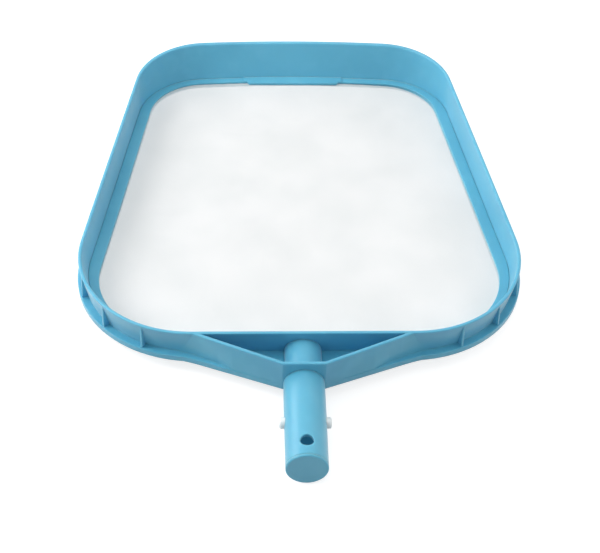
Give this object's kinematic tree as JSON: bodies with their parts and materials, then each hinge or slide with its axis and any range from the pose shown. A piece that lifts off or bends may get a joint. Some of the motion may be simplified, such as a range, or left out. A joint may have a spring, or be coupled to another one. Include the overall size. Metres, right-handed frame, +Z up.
{
  "type": "leaf skimmer net",
  "caption": "Flat pool leaf skimmer: a rounded, flared blue plastic rim with a white net floor, gusset ribs, a brace and a tubular spigot with spring lock buttons for a pole.",
  "frame": {"origin": "on the spigot's axis at its shoulder, where the pole's mouth stops", "axes": "+Y away from the pole towards the far lip, +Z up out of the net, +X to the right, so the pole comes in along -Y"},
  "size_m": [0.3102, 0.4281, 0.0406],
  "materials": {
    "blue_plastic": "satin",
    "white_net": "fine woven mesh",
    "white_plastic": "translucent natural"
  },
  "bodies": {
    "skimmer": {"frame": "blue_plastic", "net_clamp_ring": "blue_plastic", "net": "white_net", "spigot": "blue_plastic", "spigot_end_plug": "blue_plastic", "spring_clip_bow": "white_plastic"},
    "right_clip_arm": {"spring_clip_right_arm": "white_plastic"},
    "left_clip_arm": {"spring_clip_left_arm": "white_plastic"}
  },
  "joints": [
    {"name": "right_button_press", "type": "hinge", "parent": "skimmer", "child": "right_clip_arm", "pos_m": [0.00935, -0.0094, 0], "axis": [0, 0, -1], "range_deg": [0, 8.1], "stiffness_Nm_per_rad": 2, "springref_deg": -1.15},
    {"name": "left_button_press", "type": "hinge", "parent": "skimmer", "child": "left_clip_arm", "pos_m": [-0.00935, -0.0094, 0], "axis": [0, 0, 1], "range_deg": [0, 8.1], "stiffness_Nm_per_rad": 2, "springref_deg": -1.15}
  ]
}
